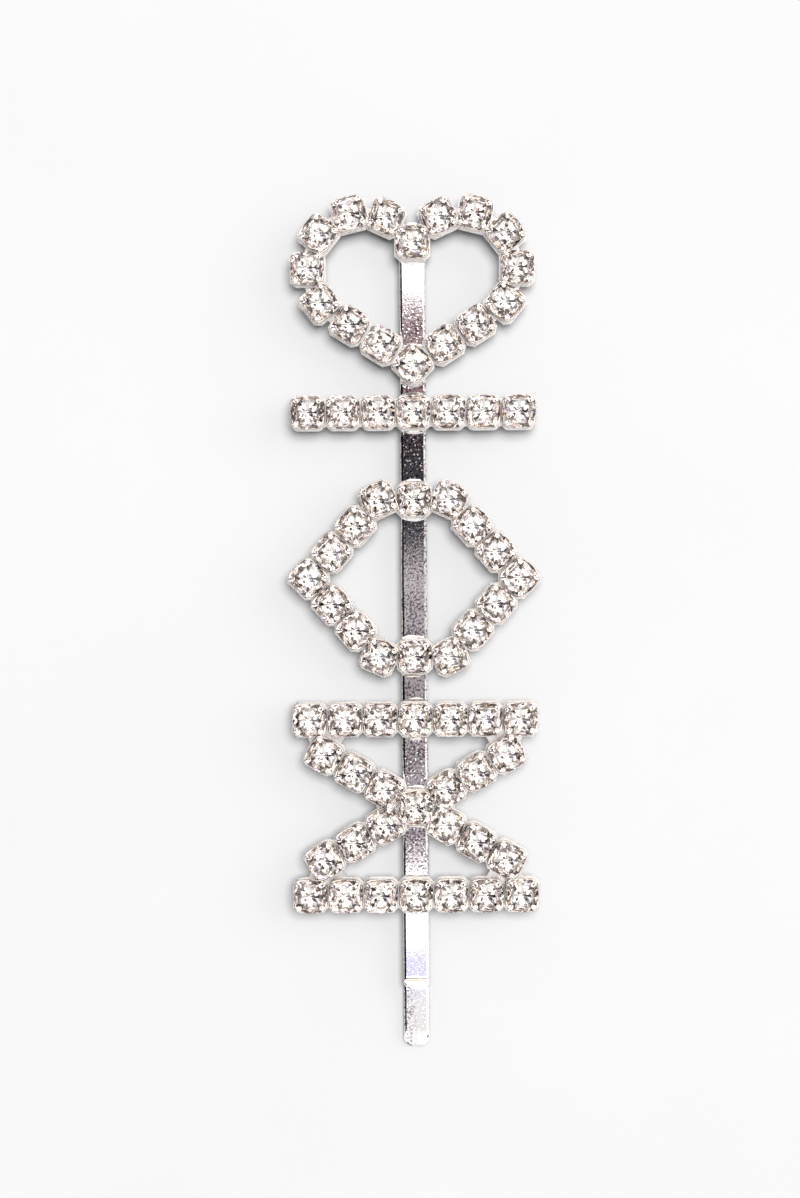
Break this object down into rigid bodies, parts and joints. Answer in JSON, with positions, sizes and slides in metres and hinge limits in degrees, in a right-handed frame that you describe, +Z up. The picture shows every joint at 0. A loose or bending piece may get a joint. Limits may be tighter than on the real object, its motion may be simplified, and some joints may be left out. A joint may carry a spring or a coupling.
{
  "type": "rhinestone hair slide",
  "caption": "Sprung metal hair grip with a crimped lower leg and rows of claw-set stones soldered across its upper leg as a heart, a bar, a hexagon and a bow.",
  "frame": {"origin": "on the surface the grip lies on, under the middle of its overall width and length", "axes": "+Y along the grip towards its closed, folded end; +X across the grip, in the plane of the ornaments; +Z up, the way the stones face"},
  "size_m": [0.0248, 0.0834, 0.0057],
  "materials": {
    "spring_strip": "bright plated spring steel with a fine orange-peel speckle and burnished edges",
    "backing_metal": "plated, slightly dull backing plate",
    "cup_metal": "bright plated claw cups with a soft warm tone where light pools in them",
    "stone_glass": "clear cut glass, foiled on the back",
    "solder": "bright plated solder with a rippled skin"
  },
  "bodies": {
    "upper": {"pin_upper_leg": "spring_strip", "pin_spring_bend": "spring_strip", "heart_frame": "backing_metal", "bar_frame": "backing_metal", "hexagon_frame": "backing_metal", "bow_frame": "backing_metal", "heart_left_cups": "cup_metal", "heart_right_cups": "cup_metal", "bar_cups": "cup_metal", "hexagon_upper_cups": "cup_metal", "hexagon_lower_cups": "cup_metal", "bow_top_cups": "cup_metal", "bow_bottom_cups": "cup_metal", "bow_rising_cups": "cup_metal", "bow_falling_cups": "cup_metal", "heart_left_stones": "stone_glass", "heart_right_stones": "stone_glass", "bar_stones": "stone_glass", "hexagon_upper_stones": "stone_glass", "hexagon_lower_stones": "stone_glass", "bow_top_stones": "stone_glass", "bow_bottom_stones": "stone_glass", "bow_rising_stones": "stone_glass", "bow_falling_stones": "stone_glass", "heart_solder": "solder", "bar_solder": "solder", "hexagon_solder": "solder", "bow_solder": "solder"},
    "lower": {"pin_lower_leg": "spring_strip"}
  },
  "joints": [
    {"name": "leg_spread", "type": "hinge", "parent": "upper", "child": "lower", "pos_m": [0, 0.03676, 0.0014], "axis": [1, 0, 0], "range_deg": [0, 10], "stiffness_Nm_per_rad": 0.4, "springref_deg": -6.88, "deforming": ["pin_spring_bend"]}
  ]
}
